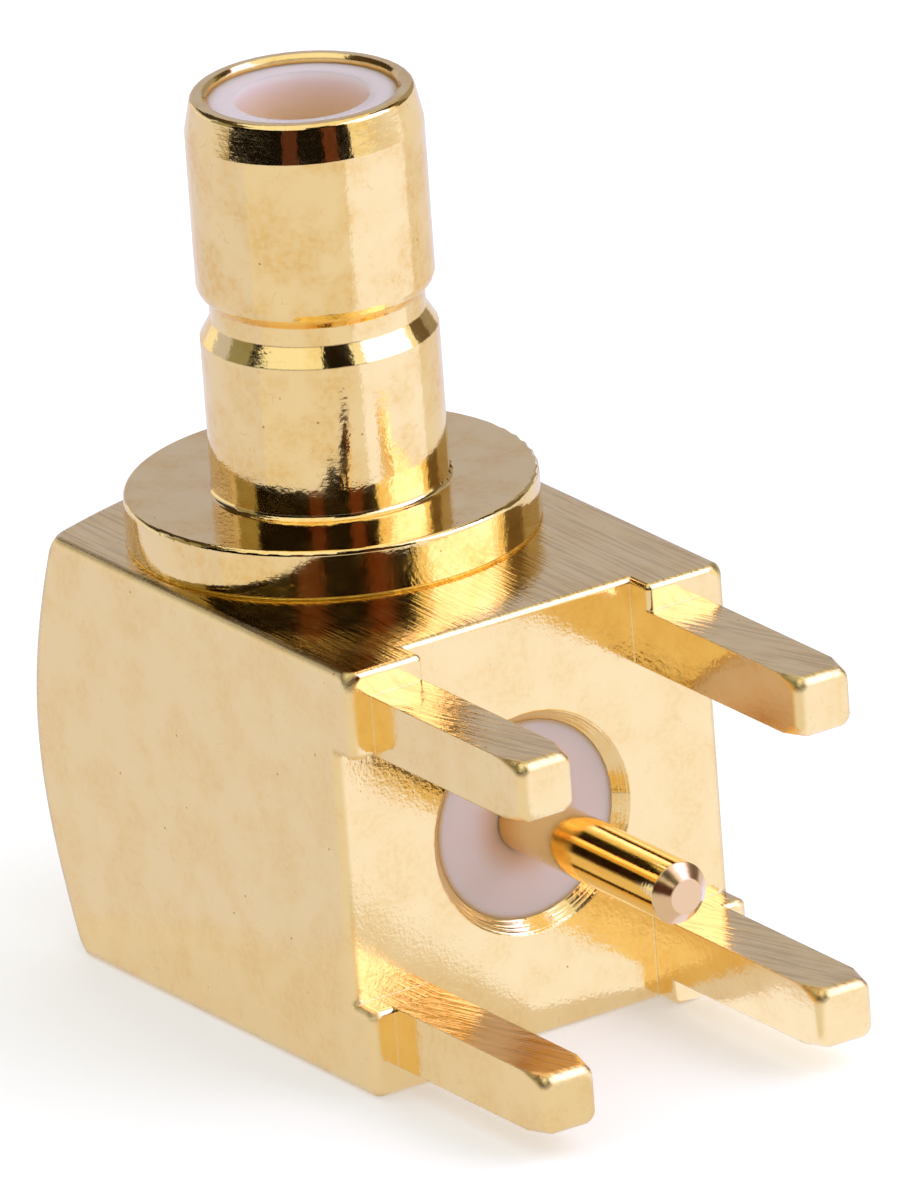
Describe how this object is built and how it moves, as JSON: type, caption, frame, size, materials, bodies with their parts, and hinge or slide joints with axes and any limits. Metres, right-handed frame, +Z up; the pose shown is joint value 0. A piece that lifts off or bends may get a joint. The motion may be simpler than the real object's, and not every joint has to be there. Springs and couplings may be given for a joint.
{
  "type": "smb connector",
  "caption": "Right-angle SMB coaxial jack for a printed-circuit board: gold-plated square body with solder legs, a round flange and a grooved barrel lined with PTFE.",
  "frame": {"origin": "where the barrel's axis meets the flat base that the part stands on", "axes": "+Z up along the barrel's axis, +X along the solder legs and the board pin, Y across the plane of symmetry"},
  "size_m": [0.0132, 0.0068, 0.0141],
  "materials": {
    "gold_body": "machined brass with hard gold plate, satin to bright",
    "gold_turned": "turned brass with hard gold plate, bright",
    "gold_contact": "polished copper alloy with hard gold plate",
    "ptfe": "turned PTFE, waxy and slightly translucent"
  },
  "bodies": {
    "root": {"body_block": "gold_body", "outer_contact": "gold_turned", "front_insulator": "ptfe", "rear_insulator": "ptfe", "centre_contact": "gold_contact", "pcb_pin": "gold_contact"}
  },
  "joints": []
}
